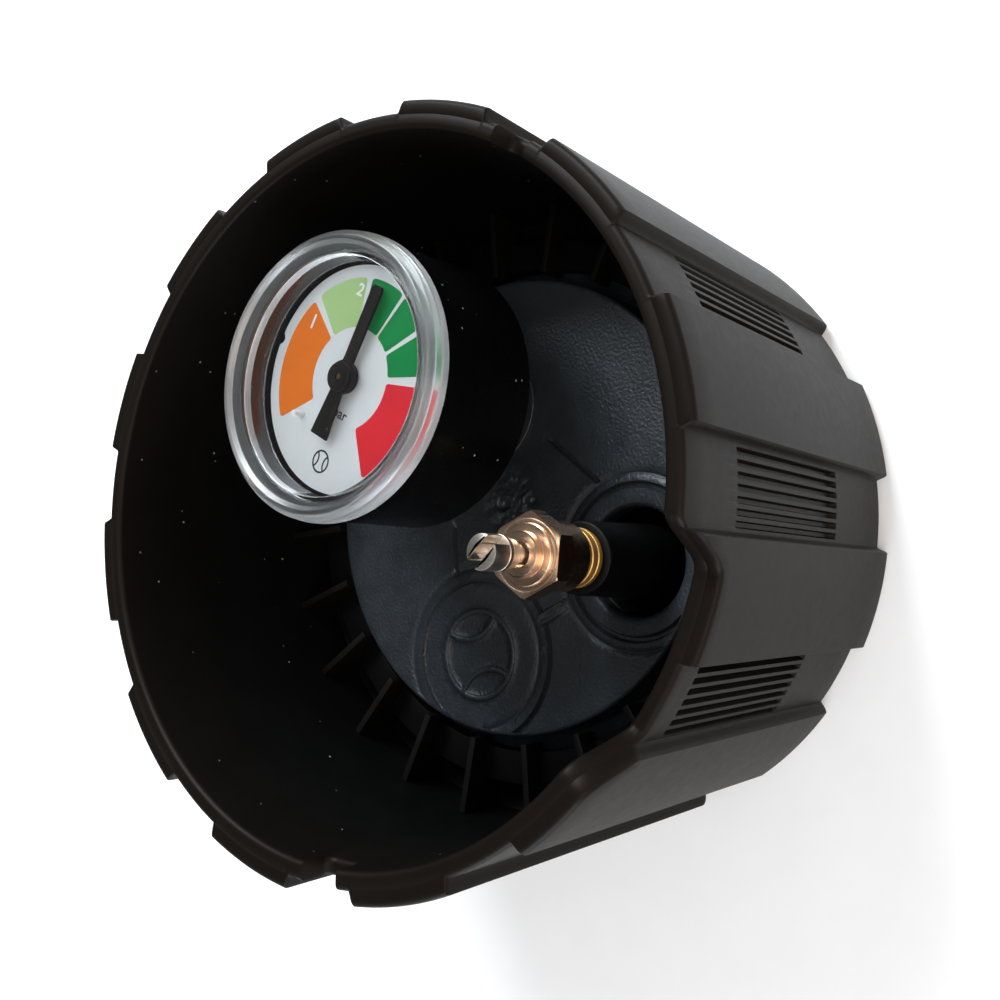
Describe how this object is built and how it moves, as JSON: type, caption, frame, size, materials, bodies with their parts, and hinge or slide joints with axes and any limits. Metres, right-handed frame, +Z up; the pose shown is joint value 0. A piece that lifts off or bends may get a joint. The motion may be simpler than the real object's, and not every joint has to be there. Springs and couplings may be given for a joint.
{
  "type": "ball pressuriser screw head",
  "caption": "Screw-on head for a pressurised ball container: an open ribbed grip collar around a turning plate that carries a pressure gauge and a capped inflation valve.",
  "frame": {"origin": "centre of the collar's lower edge, on the surface that the head stands on", "axes": "+Z up along the collar's axis, out of the open cup; -Y towards the scalloped side of the rim, where the valve is"},
  "size_m": [0.1044, 0.1041, 0.0667],
  "materials": {
    "shell_plastic": "satin black moulded polypropylene",
    "plate_plastic": "spark-textured black glass-filled nylon",
    "case_black": "gloss black",
    "lens_clear": "clear moulded polycarbonate",
    "dial_white": "white enamel",
    "pointer_black": "matt black",
    "nylon": "natural nylon",
    "rubber": "matt black",
    "brass": "turned",
    "bronze": "drawn phosphor bronze",
    "nickel": "polished nickel plating on brass",
    "steel": "turned"
  },
  "bodies": {
    "collar": {"grip_shell": "shell_plastic", "snap_ring": "nylon"},
    "plate": {"pressure_plate": "plate_plastic", "plate_gasket": "rubber", "gauge_case": "case_black", "gauge_lens": "lens_clear", "gauge_socket": "brass", "socket_seal": "rubber", "bourdon_tube": "bronze", "movement_back_plate": "brass", "movement_front_plate": "brass", "movement_pillar_1": "steel", "movement_pillar_2": "steel", "dial_ring": "case_black", "gauge_dial": "dial_white", "stop_pin": "dial_white", "valve_sleeve": "rubber", "valve_stem": "brass", "valve_washer": "steel", "valve_nut": "brass", "core_body": "brass", "core_spring": "steel"},
    "sector": {"sector_gear": "brass"},
    "needle": {"pinion_staff": "steel", "gauge_pointer": "pointer_black", "pointer_hub": "pointer_black"},
    "core": {"core_pin": "steel"},
    "cap_lift": {"cap_seal": "rubber"},
    "cap": {"valve_cap": "nickel", "cap_key": "nickel"}
  },
  "joints": [
    {"name": "plate_turn", "type": "hinge", "parent": "collar", "child": "plate", "pos_m": [0, 0, 0.03], "axis": [0, 0, 1], "continuous": true},
    {"name": "sector_turn", "type": "hinge", "parent": "plate", "child": "sector", "pos_m": [0.01097, -0.00105, 0.0535], "axis": [0, 0, 1], "range_deg": [-24.27, 24.54], "stiffness_Nm_per_rad": 0.005},
    {"name": "pointer_turn", "type": "hinge", "parent": "plate", "child": "needle", "pos_m": [0.01286, 0.00918, 0.0617], "axis": [0, 0, -1], "range_deg": [-133.5, 135]},
    {"name": "core_press", "type": "slide", "parent": "plate", "child": "core", "axis": [0, 0, -1], "range_m": [0, 0.0012], "stiffness_N_per_m": 600, "springref_m": -0.002, "deforming": ["core_spring"]},
    {"name": "cap_unscrew", "type": "slide", "parent": "plate", "child": "cap_lift", "axis": [0, 0, 1], "range_m": [0, 0.00476]},
    {"name": "cap_turn", "type": "hinge", "parent": "cap_lift", "child": "cap", "pos_m": [-0.00236, -0.02449, 0.0532], "axis": [0, 0, 1], "range_deg": [0, 2160]}
  ],
  "couplings": [
    {"joint": "pointer_turn", "follows": "sector_turn", "ratio": 5.5},
    {"joint": "cap_turn", "follows": "cap_unscrew", "rad_per_m": 7915.8}
  ]
}
